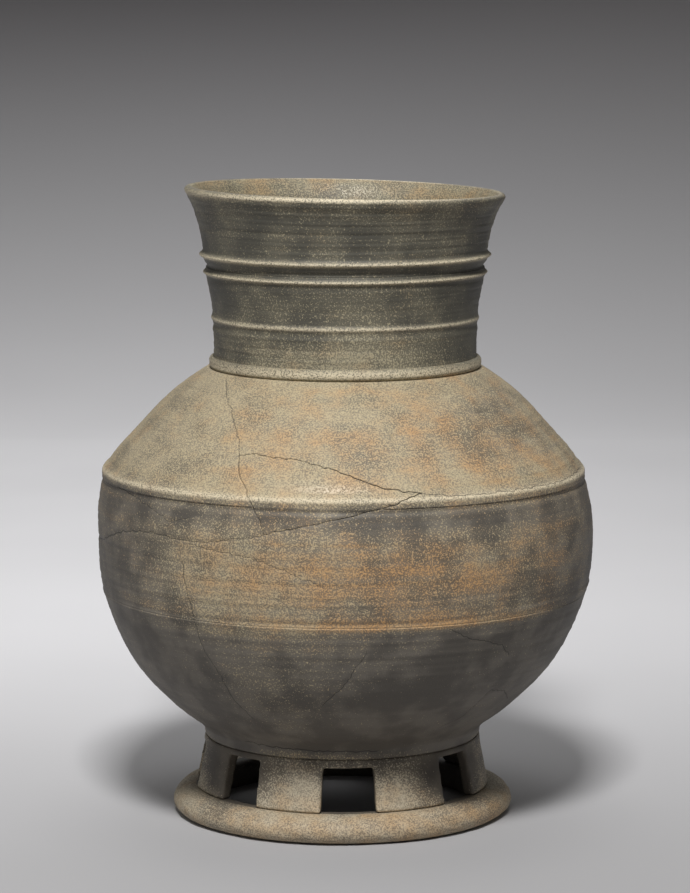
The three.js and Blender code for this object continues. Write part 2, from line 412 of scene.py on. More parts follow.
class Handwork:
    """The unevenness that the potter's hands and the wheel left, added to the radius."""

    # Swells are count, depth, phase and drift; marks are pitch, depth, wander and count.
    SWELLS = ((2, 0.30, 0.8, 60.0), (3, 0.22, -1.1, 35.0), (5, 0.14, 2.0, -25.0), (9, 0.07, 0.4, 14.0))
    MARKS = ((4.3, 0.09, 1.5, 1), (2.4, 0.06, 2.1, 2), (7.1, 0.07, 0.7, 1), (11.0, 0.08, 1.3, 3))
    MARK_MEAN, MARK_CHANGE, MARK_DRIFT = 0.65, 0.35, 17
    LEDGE_HEIGHT, LEDGE_RISE, LEDGE_DEPTH = 131.0, 4.2, 0.45
    LEDGE_BELOW, LEDGE_ABOVE = 4.0, 0.9
    LEDGE_TURN = 45
    CLIMB_BEFORE, CLIMB_LENGTH = 30, 40
    FALL_AFTER, FALL_LENGTH = 95, 60
    DIP_DEPTH, DIP_REACH = 0.45, 0.75

    def swell(self, azimuth: np.ndarray, height: np.ndarray) -> np.ndarray:
        """Low waves round the jar: cosines of whole multiples of the azimuth that drift with height.

        Args:
            azimuth: Degrees from the front.
            height: Millimetres above the floor.

        Returns:
            What they add to the radius.
        """
        turn = np.radians(azimuth)
        return sum(
            depth * np.cos(count * turn + phase + height / drift)
            for count, depth, phase, drift in self.SWELLS
        )

    def marks(self, azimuth: np.ndarray, height: np.ndarray) -> np.ndarray:
        """Turning marks: sines of the height with a pitch each, whose phase wanders round the jar.

        Args:
            azimuth: Degrees from the front.
            height: Millimetres above the floor.

        Returns:
            What they add to the radius.
        """
        turn = np.radians(azimuth)
        wave = sum(
            depth * np.sin(2 * np.pi * height / pitch + wander * np.sin(count * turn + pitch))
            for pitch, depth, wander, count in self.MARKS
        )
        return wave * (self.MARK_MEAN + self.MARK_CHANGE * np.sin(height / self.MARK_DRIFT + turn))

    def ledge_at(self, azimuth: np.ndarray) -> np.ndarray:
        """Height of the ledge that the turning tool left: it climbs to the right and comes down behind.

        The climb is a smooth step, three squares less two cubes of its share.

        Args:
            azimuth: Degrees from the front.

        Returns:
            Millimetres above the floor.
        """
        across = turn_to(azimuth, self.LEDGE_TURN)
        climb = np.clip((across + self.CLIMB_BEFORE) / self.CLIMB_LENGTH, 0, 1)
        share = climb * np.clip((self.FALL_AFTER - across) / self.FALL_LENGTH, 0, 1)
        return self.LEDGE_HEIGHT + self.LEDGE_RISE * share * share * (3 - 2 * share)

    def ledge(self, azimuth: np.ndarray, height: np.ndarray) -> np.ndarray:
        """The ledge itself: a low lip that rises gently from below and drops off above.

        Args:
            azimuth: Degrees from the front.
            height: Millimetres above the floor.

        Returns:
            What it adds to the radius, a hump with a reach of its own on each side.
        """
        above = height - self.ledge_at(azimuth)
        reach = np.where(above < 0, self.LEDGE_BELOW, self.LEDGE_ABOVE)
        return self.LEDGE_DEPTH * np.exp(-((above / reach) ** 2))

    def relief(self, azimuth: np.ndarray, height: np.ndarray, radius: np.ndarray) -> np.ndarray:
        """All that is added to the outer radius, in millimetres.

        Args:
            azimuth: Degrees from the front.
            height: Millimetres above the floor.
            radius: The plain radius there.

        Returns:
            The sum of swells, marks, ledge, the dips along the breaks and the pits.
        """
        total = self.swell(azimuth, height) + self.marks(azimuth, height)
        total = total + self.ledge(azimuth, height)
        turn = np.radians(azimuth)
        points = np.stack([radius * np.sin(turn), -radius * np.cos(turn), height], -1).reshape(-1, 3)
        side, width = BREAKS.nearest(points)
        dip = (self.DIP_DEPTH * width * np.exp(-((side / self.DIP_REACH) ** 2))).reshape(np.shape(total))
        for pit in PITS:
            across = np.radians(turn_to(azimuth, pit.turn)) * radius
            apart = (across**2 + (height - pit.height) ** 2) / pit.radius**2
            total = total - pit.depth * np.exp(-apart)
        return total - dip


HANDWORK = Handwork()


@dataclass(frozen=True)
class Patch:
    """A soft-edged patch of a spot: its centre, its reach each way and how much it adds."""

    turn: float
    height: float
    reach_turn: float
    reach_height: float
    amount: float


@dataclass(frozen=True)
class Surface:
    """Where ash, warm colour and gloss lie on the jar, with painted shade among the ash patches and a
    painted highlight on the crests: lines of height and amount, and patches on them.
    """

    ash_line: Points = (
        (0, 0.8), (14, 0.75), (17, 0.7), (48, 0.3), (52, -0.1), (95, 0.06), (122, 0.12), (131, 0.3),
        (134, 0.4), (150, 0.42), (172, 0.45), (196, 0.5), (206, 0.74), (240, 0.72), (258, 0.74),
        (262, 0.5), (275, 0.36), (300, 0.3), (316, 0.26), (345, 0.24), (360, 0.4),
    )
    warm_line: Points = (
        (0, 0.35), (20, 0.3), (50, 0.1), (110, 0.1), (130, 0.35), (150, 0.45), (180, 0.45),
        (205, 0.35), (240, 0.35), (262, 0.2), (300, 0.15), (360, 0.2),
    )
    gloss_line: Points = ((0, 0), (400, 0))
    ash_and_painted_shade: tuple[Patch, ...] = (
        # The first two patches take all ash off the foot's sides at about 50 degrees either way: painted
        # shade, the belly's shadow on the side legs.
        Patch(-50, 32, 16, 16, -1.0), Patch(52, 32, 16, 16, -1.0), Patch(-20, 85, 16, 45, 0.14),
        Patch(66, 225, 22, 30, -0.12), Patch(-62, 215, 22, 26, -0.1),
        Patch(-20, 28, 12, 15, 0.25), Patch(22, 28, 12, 15, 0.25), Patch(-12, 90, 22, 45, 0.12),
        Patch(-28, 158, 18, 24, 0.22), Patch(30, 188, 40, 8, -0.15), Patch(-45, 188, 25, 8, -0.12),
        Patch(0, 190, 70, 4, -0.12),
        # The first two patches take ash off the belly's left and right sides: painted shade where the belly
        # turns away from the light.
        Patch(-75, 150, 30, 45, -0.3), Patch(78, 150, 24, 45, -0.25), Patch(10, 160, 40, 20, 0.12),
        Patch(-10, 205, 28, 5, 0.2), Patch(20, 131.5, 45, 2.2, 0.4), Patch(-35, 126, 25, 3, 0.2),
        # The second and third patches take ash off the neck's right and left sides: painted shade where the
        # neck turns away from the light.
        Patch(5, 272, 38, 9, 0.22), Patch(70, 285, 25, 30, -0.25), Patch(-68, 290, 22, 40, -0.12),
        Patch(45, 232, 22, 16, -0.12), Patch(180, 180, 60, 60, -0.1),
    )
    warm: tuple[Patch, ...] = (
        Patch(14, 158, 40, 18, 0.5), Patch(20, 132.5, 50, 4, 0.5), Patch(-20, 228, 22, 14, 0.25),
        Patch(40, 226, 26, 18, 0.3), Patch(-55, 220, 25, 25, -0.25), Patch(-40, 165, 25, 25, -0.15),
        Patch(0, 8, 50, 10, 0.25), Patch(60, 8, 30, 10, 0.3),
    )
    gloss: tuple[Patch, ...] = (
        Patch(-4, 206, 14, 4, 0.8), Patch(0, 352, 25, 8, 0.4), Patch(10, 170, 25, 20, 0.2),
    )
    inner_ash: Points = ((0, 0.1), (40, 0), (60, 0.5), (300, 0.3), (325, 0.5), (360, 0.68))
    inner_warm: Points = ((0, 0.2), (300, 0.3), (325, 0.55), (360, 0.5))
    inner_gloss: Points = ((0, 0), (330, 0), (352, 0.8), (362, 0.3))
    inner_from: float = 2.5
    inner_blend: float = 1.5
    crest_highlight_depth: float = 3.5
    # Each crest of painted highlight is its height, its reach and its amount.
    crest_highlights: tuple[tuple[float, float, float], ...] = (
        (323, 1.2, 1.0), (313, 1.0, 0.9), (286.8, 1.1, 0.85), (261.5, 2.2, 0.9), (200.6, 1.5, 0.85),
        (359.4, 1.4, 1.0),
    )

    def spot(self, kind: Spot, azimuth: np.ndarray, height: np.ndarray, depth: np.ndarray) -> np.ndarray:
        """How much of one spot each point has.

        A patch is a hump: e to the minus sum of its squared distances over its reaches. The painted
        highlight on the crests is the same by height only, on the outer side. Inside the wall, other lines
        take over.

        Args:
            kind: The spot that is asked for.
            azimuth: Degrees from the front.
            height: Millimetres above the floor.
            depth: Millimetres inside the outer line.

        Returns:
            Values from 0 to 1.
        """
        # The crests' painted highlight: pale bands by height on the outer side.
        if kind is Spot.CREST_HIGHLIGHT:
            crest_highlight = sum(amount * bump(height, at, reach) for at, reach, amount in self.crest_highlights)
            return np.clip(crest_highlight * (depth < self.crest_highlight_depth), 0, 1)
        line, patches, inner = {
            Spot.ASH_AND_PAINTED_SHADE: (self.ash_line, self.ash_and_painted_shade, self.inner_ash),
            Spot.WARM: (self.warm_line, self.warm, self.inner_warm),
            Spot.GLOSS: (self.gloss_line, self.gloss, self.inner_gloss),
        }[kind]
        total = np.interp(height, *np.array(line, float).T)
        for patch in patches:
            across = turn_to(azimuth, patch.turn) / patch.reach_turn
            up = (height - patch.height) / patch.reach_height
            total = total + patch.amount * np.exp(-(across**2) - up**2)
        within = np.clip((depth - self.inner_from) / self.inner_blend, 0, 1)
        inside = np.interp(height, *np.array(inner, float).T)
        return np.clip(total * (1 - within) + inside * within, 0, 1)


SURFACE = Surface()


@dataclass(frozen=True)
class Stoneware:
    """One finish of the fired clay: its colours, the scales of its noises in waves a metre, how rough
    it is and how strong its grain is.

    A span is where a smooth step on a noise begins and ends. A share is how much of a noise or a
    layer counts. The limit is what the finer noise has to pass for a speck of ash, where the ash's
    attribute is 0, and the gain is how much it changes as that goes to 1.
    """

    name: str
    clay_dark: Colour
    clay_light: Colour
    ash_pale: Colour
    ash_warm: Colour
    clay_roughness: float = 0.62
    ash_roughness: float = 0.72
    gloss_roughness: float = 0.28
    fine_scale: float = 1900
    speck_scale: float = 1150
    cloud_scale: float = 48
    tint_scale: float = 64
    streak_scales: tuple[float, float, float] = (9, 9, 230)
    grain: float = 0.35
    grain_depth: float = 0.0006
    cloud_share: float = 0.6
    streak_share: float = 0.4
    speck_limit: float = 0.68
    speck_gain: float = -0.32
    speck_edge: float = 0.08
    fine_offset: float = 0.03
    fine_edge: float = 0.1
    fine_share: float = 0.7
    cloud_span: Span = (0.38, 0.62)
    streak_span: Span = (0.3, 0.75)
    streak_shade: float = 0.45
    tint_share: float = 1.7
    tint_streak_share: float = 0.6
    warm_span: Span = (0.1, 1.2)
    pore_span: Span = (0.36, 0.64)
    pore_shade: float = 0.4
    film_span: Span = (0.1, 1.0)
    film_share: float = 0.55
    ash_share: float = 0.78
    crest_highlight_span: Span = (0.3, 0.55)
    crest_highlight_share: float = 0.8
    gloss_span: Span = (0.35, 0.6)
    bump_fine: float = 0.5
    bump_ash: float = 0.35
    bump_speck: float = 0.5
    line_core: float = 0.4
    line_blur: float = 0.02
    line_share: float = 0.85
    line_least: float = 0.05

    def material(self) -> bpy.types.Material:
        """Builds the finish as nodes: dark clay, a thin film of ash on it, then specks of thick ash.

        The attribute of ash, which carries painted shade too, made uneven by clouds and streaks, sets how
        dense the film is and how low the noise has to be for a speck. A pale painted highlight on the
        crests and the breaks are laid over that.

        Returns:
            The material.
        """
        nodes = Graph(self.name)
        place = nodes.add("ShaderNodeTexCoord").outputs["Object"]
        fine = nodes.noise(place, self.fine_scale, 2.0)
        speck = nodes.noise(place, self.speck_scale, 3.0)
        cloud = nodes.noise(place, self.cloud_scale, 5.0)
        tint = nodes.noise(place, self.tint_scale, 5.0)
        streak = nodes.noise(nodes.stretched(place, self.streak_scales), 1.0, 3.0)

        # This attribute is the ash with painted shade in it, where patches take the ash off.
        ash_and_shade_values = nodes.attribute(Spot.ASH_AND_PAINTED_SHADE.value)
        uneven = nodes.sum_of(ash_and_shade_values, cloud, self.cloud_share, streak, self.streak_share)
        low = nodes.math("MULTIPLY_ADD", uneven, self.speck_gain, self.speck_limit)
        spots = nodes.step_from(speck, low, self.speck_edge)
        grains = nodes.step_from(fine, nodes.math("ADD", low, self.fine_offset), self.fine_edge)
        ash_and_painted_shade = nodes.math("MAXIMUM", spots, nodes.math("MULTIPLY", grains, self.fine_share))

        clay = nodes.mix(nodes.step(cloud, *self.cloud_span), self.clay_dark, self.clay_light)
        shade = nodes.step(streak, *self.streak_span, 0.0, self.streak_shade)
        clay = nodes.mix(shade, clay, self.clay_dark)
        warm = nodes.attribute(Spot.WARM.value)
        warmth = nodes.sum_of(warm, tint, self.tint_share, streak, self.tint_streak_share)
        film = nodes.mix(nodes.step(warmth, *self.warm_span), self.ash_pale, self.ash_warm)
        pores = nodes.step(speck, *self.pore_span, self.pore_shade, 0.0)
        film = nodes.mix(pores, film, self.clay_dark)
        clay = nodes.mix(nodes.step(uneven, *self.film_span, 0.0, self.film_share), clay, film)
        skin = nodes.mix(nodes.math("MULTIPLY", ash_and_painted_shade, self.ash_share), clay, film)

        # A pale painted highlight along the ridges' crests, broken by the speck noise.
        crest_highlight = nodes.attribute(Spot.CREST_HIGHLIGHT.value)
        painted_crest_highlight = nodes.math("MULTIPLY", crest_highlight, nodes.step(speck, *self.crest_highlight_span))
        skin = nodes.mix(nodes.math("MULTIPLY", painted_crest_highlight, self.crest_highlight_share), skin, CREST_HIGHLIGHT_COLOUR)

        line = self.break_line(nodes)
        skin = nodes.mix(line, skin, BREAK_COLOUR)
        nodes.link(skin, nodes.shader.inputs["Base Color"])

        rough = nodes.blend_value(ash_and_painted_shade, self.clay_roughness, self.ash_roughness)
        gloss = nodes.attribute(Spot.GLOSS.value)
        shine = nodes.math("MULTIPLY", gloss, nodes.step(speck, *self.gloss_span))
        rough = nodes.blend_value(shine, rough, self.gloss_roughness)
        nodes.link(rough, nodes.shader.inputs["Roughness"])

        height = nodes.math("MULTIPLY", fine, self.bump_fine)
        height = nodes.sum_of(height, ash_and_painted_shade, self.bump_ash, speck, self.bump_speck)
        height = nodes.math("SUBTRACT", height, line)
        nodes.raise_by(height, self.grain, self.grain_depth)
        return nodes.material

    def break_line(self, nodes: "Graph") -> bpy.types.NodeSocket:
        """The dark line of a break, at full strength well inside the crack's half width.

        Args:
            nodes: The material's nodes.

        Returns:
            How dark each place is, which is 0 where no crack is near.
        """
        apart = nodes.math("ABSOLUTE", nodes.attribute("break_side"), 0.0)
        half = nodes.math("MULTIPLY", nodes.attribute("break_width"), 0.5)
        inner = nodes.math("MULTIPLY", half, self.line_core)
        line = nodes.step(apart, inner, nodes.math("ADD", half, self.line_blur), self.line_share, 0.0)
        present = nodes.math("GREATER_THAN", half, self.line_least)
        return nodes.math("MULTIPLY", line, present)


class Graph:
    """A material's nodes, added one by one from its inputs to its shader."""

    def __init__(self, name: str) -> None:
        """Starts a material with one Principled shader.

        Args:
            name: The material's name.
        """
        self.material = bpy.data.materials.new(name)
        self.material.use_nodes = True
        self.tree = self.material.node_tree
        self.shader = self.tree.nodes["Principled BSDF"]

    def add(self, kind: str, **settings: object) -> bpy.types.Node:
        """Adds a node and sets its options.

        Args:
            kind: The node's type.
            settings: Its options by name.

        Returns:
            The node.
        """
        node = self.tree.nodes.new(kind)
        for name, value in settings.items():
            setattr(node, name, value)
        return node

    def link(self, source: object, target: bpy.types.NodeSocket) -> None:
        """Feeds a socket from another one, or sets it to a plain value.

        Args:
            source: An output socket, a number or a colour.
            target: The input socket.
        """
        if isinstance(source, bpy.types.NodeSocket):
            self.tree.links.new(source, target)
        else:
            target.default_value = source

    def attribute(self, name: str) -> bpy.types.NodeSocket:
        """The value of a mesh attribute."""
        return self.add("ShaderNodeAttribute", attribute_name=name).outputs["Fac"]

    def noise(self, place: bpy.types.NodeSocket, scale: float, detail: float) -> bpy.types.NodeSocket:
        """Smooth noise of 0 to 1.

        Args:
            place: The coordinates that it reads.
            scale: Waves a metre.
            detail: How many finer layers it has.

        Returns:
            The noise.
        """
        node = self.add("ShaderNodeTexNoise")
        self.link(place, node.inputs["Vector"])
        node.inputs["Scale"].default_value = scale
        node.inputs["Detail"].default_value = detail
        return node.outputs["Fac"]

    def stretched(
        self, place: bpy.types.NodeSocket, scales: tuple[float, float, float],
    ) -> bpy.types.NodeSocket:
        """Coordinates scaled by a different amount each way.

        Args:
            place: The coordinates.
            scales: The factor along x, y and z.

        Returns:
            The scaled coordinates.
        """
        node = self.add("ShaderNodeMapping")
        self.link(place, node.inputs["Vector"])
        node.inputs["Scale"].default_value = scales
        return node.outputs["Vector"]

    def math(self, kind: str, first: object, second: object, third: object = 0.0) -> bpy.types.NodeSocket:
        """One sum on two or three values.

        Args:
            kind: The sum's name.
            first, second, third: Sockets or numbers.

        Returns:
            The result.
        """
        node = self.add("ShaderNodeMath", operation=kind)
        for value, socket in zip((first, second, third), node.inputs):
            self.link(value, socket)
        return node.outputs["Value"]

    def sum_of(
        self, base: object, first: object, share: float, second: object, other: float,
    ) -> bpy.types.NodeSocket:
        """The base plus shares of two noises, each counted from its middle, one half.

        Args:
            base: The value that they make uneven.
            first, second: The noises.
            share, other: How much of the first and of the second is added.

        Returns:
            The uneven value.
        """
        total = self.math("MULTIPLY_ADD", first, share, base)
        total = self.math("MULTIPLY_ADD", second, other, total)
        return self.math("SUBTRACT", total, (share + other) / 2)

    def step(
        self, value: object, low: object, high: object, start: float = 0.0, end: float = 1.0,
    ) -> bpy.types.NodeSocket:
        """A smooth step from start to end as the value goes from low to high.

        Args:
            value: What is read.
            low, high: Where the step begins and ends.
            start, end: What it gives before and after.

        Returns:
            The stepped value.
        """
        node = self.add("ShaderNodeMapRange", interpolation_type="SMOOTHSTEP")
        names = ("Value", "From Min", "From Max", "To Min", "To Max")
        for name, given in zip(names, (value, low, high, start, end)):
            self.link(given, node.inputs[name])
        return node.outputs["Result"]

    def step_from(self, value: object, low: object, width: float) -> bpy.types.NodeSocket:
        """A smooth step from 0 to 1 of a set width, which starts where another socket says."""
        return self.step(value, low, self.math("ADD", low, width))

    def blend_value(self, share: object, first: object, second: object) -> bpy.types.NodeSocket:
        """A number between two others: the straight line as the share goes from 0 to 1.

        Args:
            share: How far it has gone.
            first, second: The two numbers.

        Returns:
            The number.
        """
        node = self.add("ShaderNodeMapRange", interpolation_type="LINEAR")
        for name, given in zip(("Value", "To Min", "To Max"), (share, first, second)):
            self.link(given, node.inputs[name])
        return node.outputs["Result"]

    def mix(self, share: object, first: object, second: object) -> bpy.types.NodeSocket:
        """A colour between two others.

        Args:
            share: How much of the second.
            first, second: The colours.

        Returns:
            The mixed colour.
        """
        node = self.add("ShaderNodeMix", data_type="RGBA")
        for name, given in (("Factor_Float", share), ("A_Color", first), ("B_Color", second)):
            self.link(given, next(socket for socket in node.inputs if socket.identifier == name))
        return next(socket for socket in node.outputs if socket.identifier == "Result_Color")

    def raise_by(self, height: object, strength: float, distance: float) -> None:
        """Bumps the shader's normal by a height.

        Args:
            height: The height, from about 0 to 1.
            strength: How much of the bump shows.
            distance: Metres that a height of 1 stands for.
        """
        node = self.add("ShaderNodeBump")
        node.inputs["Strength"].default_value = strength
        node.inputs["Distance"].default_value = distance
        self.link(height, node.inputs["Height"])
        self.link(node.outputs["Normal"], self.shader.inputs["Normal"])


# The pale colour of the painted highlight on the crests.
CREST_HIGHLIGHT_COLOUR = srgb(224, 210, 180)
BREAK_COLOUR = srgb(30, 27, 23)
BODY_FINISH = Stoneware(
    "ashed_body", srgb(82, 77, 70), srgb(108, 102, 93), srgb(184, 169, 136), srgb(196, 152, 100),
)
NECK_FINISH = Stoneware(
    "dark_neck", srgb(70, 68, 60), srgb(86, 83, 72), srgb(166, 156, 128), srgb(180, 148, 104),
)
FOOT_FINISH = Stoneware(
    "foot_clay", srgb(72, 66, 58), srgb(96, 88, 76), srgb(192, 180, 156), srgb(192, 158, 114),
)


@dataclass
class Section:
    """A wall's closed section: its points, up the outer side and down the inner, and how much of the
    relief each takes. One with poles starts and ends on the axis instead of closing on itself."""

    points: np.ndarray
    outside: np.ndarray
    poles: bool = False


LEAST_LEAN = 0.6
INNER_STEP = 3


def wall_section(outer: np.ndarray, wall: float) -> Section:
    """Gives an outer line its thickness, with flat edges at its two ends.

    The inner line lies inside the outer one by the wall over the outward share of its normal, so
    that every inner point keeps its height.

    Args:
        outer: Rows of radius and height, going up.
        wall: Thickness square to the surface.

    Returns:
        The closed section, whose inner side has every third point.
    """
    along = np.gradient(smoothed(outer), axis=0)
    lean = np.abs(along[:, 1]) / np.hypot(*along.T)
    inset = wall / np.clip(lean, LEAST_LEAN, 1)
    inner = np.column_stack([smoothed(outer)[:, 0] - inset, outer[:, 1]])[::-1]
    inner = np.vstack([inner[:-1:INNER_STEP], inner[-1:]])
    top = np.linspace(outer[-1], inner[0], EDGE_POINTS)[1:-1]
    bottom = np.linspace(inner[-1], outer[0], EDGE_POINTS)[1:-1]
    points = np.vstack([outer, top, inner, bottom])
    fade = np.linspace(1, 0, EDGE_POINTS)[1:-1]
    outside = np.concatenate([np.ones(len(outer)), fade, np.zeros(len(inner)), 1 - fade])
    return Section(points, outside)


def smoothed(line: np.ndarray, reach: int = 3) -> np.ndarray:
    """The line with its ridges evened out, by a running mean over the points within reach.

    Args:
        line: Rows of radius and height.
        reach: Points on either side that count.

    Returns:
        As many rows, evened out.
    """
    padded = np.pad(line, ((reach, reach), (0, 0)), mode="reflect", reflect_type="odd")
    kernel = np.ones(2 * reach + 1) / (2 * reach + 1)
    return np.column_stack([np.convolve(padded[:, side], kernel, mode="valid") for side in (0, 1)])


def azimuths(radius: float, front_step: float, back_step: float, front: float = 82) -> np.ndarray:
    """Degrees round the jar, close together across the front and wider apart behind.

    Args:
        radius: Radius that the steps are counted on.
        front_step, back_step: Millimetres between neighbours in front and behind.
        front: Degrees to either side that count as the front.

    Returns:
        The azimuths, from minus front all the way round.
    """
    near = max(8, int(np.radians(2 * front) * radius / front_step))
    far = max(8, int(np.radians(360 - 2 * front) * radius / back_step))
    return np.concatenate([
        np.linspace(-front, front, near, endpoint=False),
        np.linspace(front, 360 - front, far, endpoint=False),
    ])


def mesh_of(name: str, vertices: np.ndarray, quads: np.ndarray, triangles: np.ndarray) -> bpy.types.Mesh:
    """Puts whole arrays of vertices and faces into a mesh.

    Args:
        name: The mesh's name.
        vertices: Rows of x, y and z in metres.
        quads: Rows of four vertex numbers.
        triangles: Rows of three vertex numbers.

    Returns:
        The mesh, shaded smooth.
    """
    mesh = bpy.data.meshes.new(name)
    mesh.vertices.add(len(vertices))
    mesh.vertices.foreach_set("co", vertices.astype(np.float32).ravel())
    corners = np.concatenate([quads.ravel(), triangles.ravel()]).astype(np.int32)
    sizes = np.concatenate([np.full(len(quads), 4), np.full(len(triangles), 3)])
    mesh.loops.add(len(corners))
    mesh.loops.foreach_set("vertex_index", corners)
    mesh.polygons.add(len(sizes))
    mesh.polygons.foreach_set("loop_start", (np.cumsum(sizes) - sizes).astype(np.int32))
    mesh.update(calc_edges=True)
    mesh.polygons.foreach_set("use_smooth", np.ones(len(sizes), bool))
    return mesh


def turned_grid(section: Section, turns: np.ndarray, shape: "Ware") -> np.ndarray:
    """Places a section's points at each azimuth, with the piece's relief on their outer side.

    A point is (r sin a, -r cos a, z), with r the section's radius plus the relief times how far
    outside the point is.

    Args:
        section: The section.
        turns: Azimuths in degrees.
        shape: The piece, which knows its relief.

    Returns:
        Points by row of the section and by azimuth, in millimetres.
    """
    azimuth, radius = np.meshgrid(turns, section.points[:, 0])
    height = np.repeat(section.points[:, 1:2], len(turns), axis=1)
    radius = radius + section.outside[:, None] * shape.relief(azimuth, height, radius)
    angle = np.radians(azimuth)
    return LEAN.apply(np.stack([radius * np.sin(angle), -radius * np.cos(angle), height], -1))


def turned_mesh(name: str, section: Section, turns: np.ndarray, shape: "Ware") -> bpy.types.Mesh:
    """Carries a section round the axis. One whose ends lie on the axis closes there in a fan.

    Args:
        name: The mesh's name.
        section: The closed section, or one from pole to pole.
        turns: Azimuths in degrees.
        shape: The piece, which knows its relief.

    Returns:
        The mesh, in metres.
    """
    wall = Section(section.points[1:-1], section.outside[1:-1]) if section.poles else section
    vertices = turned_grid(wall, turns, shape).reshape(-1, 3)
    count = len(vertices)
    number = np.arange(count).reshape(len(wall.points), len(turns))
    below, above = (number[:-1], number[1:]) if section.poles else (number, np.roll(number, -1, axis=0))
    quads = np.stack([below, np.roll(below, -1, axis=1), np.roll(above, -1, axis=1), above], -1)
    triangles = np.empty((0, 3), int)
    if section.poles:
        ends = np.array([[0, 0, section.points[0, 1]], [0, 0, section.points[-1, 1]]])
        vertices = np.vstack([vertices, LEAN.apply(ends)])
        first, last = number[0], number[-1]
        start_fan = np.stack([np.full_like(first, count), np.roll(first, -1), first], -1)
        end_fan = np.stack([last, np.roll(last, -1), np.full_like(last, count + 1)], -1)
        triangles = np.vstack([start_fan, end_fan])
    return mesh_of(name, vertices * MM, quads.reshape(-1, 4), triangles)


@dataclass
class Ware:
    """A piece of the jar: its name, the CAD node it stands for, its slot, its finish and its grid."""

    name: str
    node: str
    slot: str
    finish: Stoneware
    spacing: float = 0.9
    front_step: float = 0.9
    back_step: float = 1.8
    widest: float = 142

    def relief(self, azimuth: np.ndarray, height: np.ndarray, radius: np.ndarray) -> np.ndarray:
        """What is added to the outer radius."""
        return HANDWORK.relief(azimuth, height, radius)

    def ends(self) -> tuple[float, float]:
        """Heights of the node's lower and upper end, in millimetres."""
        low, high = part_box(self.node)
        return low.z / MM, high.z / MM

    def mesh(self) -> bpy.types.Mesh:
        """The piece's own mesh."""
        raise NotImplementedError

    def turned(self, section: Section) -> bpy.types.Mesh:
        """The section carried round the axis in the piece's own steps."""
        turns = azimuths(self.widest, self.front_step, self.back_step)
        return turned_mesh(self.name, section, turns, self)

    def make(self, materials: dict[str, bpy.types.Material]) -> bpy.types.Object:
        """Builds the piece, marks its skin, gives it its finish and puts it on the frame.

        Args:
            materials: The finished materials by name.

        Returns:
            The piece.
        """
        piece = bpy.data.objects.new(self.name, self.mesh())
        bpy.context.scene.collection.objects.link(piece)
        self.shape_further(piece)
        mark_skin(piece.data)
        piece.data.materials.clear()
        piece.data.materials.append(materials[self.finish.name])
        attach(piece, "root")
        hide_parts(self.node)
        log.info("%s: %d faces", self.name, len(piece.data.polygons))
        return piece

    def shape_further(self, piece: bpy.types.Object) -> None:
        """Any cut that follows the turning; a plain piece has none."""


def mark_skin(mesh: bpy.types.Mesh) -> None:
    """Writes where each spot lies, and how far the nearest break is, as attributes of the vertices.

    Args:
        mesh: The finished mesh, in metres.
    """
    points = np.empty(len(mesh.vertices) * 3, np.float32)
    mesh.vertices.foreach_get("co", points)
    points = points.reshape(-1, 3).astype(float) / MM
    straight = points.copy()
    straight[:, 0] -= np.interp(points[:, 2], LEAN.heights, LEAN.sideways)
    azimuth = np.degrees(np.arctan2(straight[:, 0], -straight[:, 1]))
    depth = OUTLINE.radius_at(straight[:, 2]) - np.hypot(straight[:, 0], straight[:, 1])
    side, width = BREAKS.nearest(straight)
    values = {kind.value: SURFACE.spot(kind, azimuth, straight[:, 2], depth) for kind in Spot}
    values["break_side"] = np.clip(side, -BREAKS.REACH, BREAKS.REACH)
    values["break_width"] = width
    for name, value in values.items():
        layer = mesh.attributes.new(name, "FLOAT", "POINT")
        layer.data.foreach_set("value", value.astype(np.float32))


def apply_modifiers(piece: bpy.types.Object) -> None:
    """Bakes the piece's modifiers into its mesh.

    Args:
        piece: The piece, which keeps its name and place.
    """
    graph = bpy.context.evaluated_depsgraph_get()
    mesh = bpy.data.meshes.new_from_object(piece.evaluated_get(graph))
    piece.modifiers.clear()
    piece.data = mesh


def cut(piece: bpy.types.Object, tool: bpy.types.Object, keep: str) -> None:
    """Cuts a piece with a tool that is then thrown away.

    Args:
        piece: The closed piece.
        tool: The closed cutter.
        keep: DIFFERENCE to keep what lies outside the tool, INTERSECT for what lies inside.
    """
    modifier = piece.modifiers.new("cut", "BOOLEAN")
    modifier.operation = keep
    modifier.object = tool
    modifier.solver = "EXACT"
    apply_modifiers(piece)
    bpy.data.objects.remove(tool)


def tool_of(name: str, corners: np.ndarray, faces: list[tuple[int, ...]]) -> bpy.types.Object:
    """Makes a closed cutter.

    Args:
        name: The cutter's name.
        corners: Rows of x, y and z in millimetres.
        faces: Corner numbers of each face.

    Returns:
        The cutter, in the scene.
    """
    mesh = bpy.data.meshes.new(name)
    mesh.from_pydata((corners * MM).tolist(), [], faces)
    mesh.update()
    tool = bpy.data.objects.new(name, mesh)
    bpy.context.scene.collection.objects.link(tool)
    return tool


def sherd_outline() -> np.ndarray:
    """The sherd's edge seen from the front, as x and height, anticlockwise from its lower corner.

    Returns:
        Rows of x and height, in millimetres.
    """
    lines = [BREAKS.lines[name] for name in ("sherd_bottom", "sherd_top", "sherd_left")]
    loop = np.vstack([line[::-1][:-1] for line in lines])
    return loop[:, [0, 2]]


PRISM_FRONT, PRISM_DEPTH = -160.0, 70.0
BREAK_GAP = 0.16


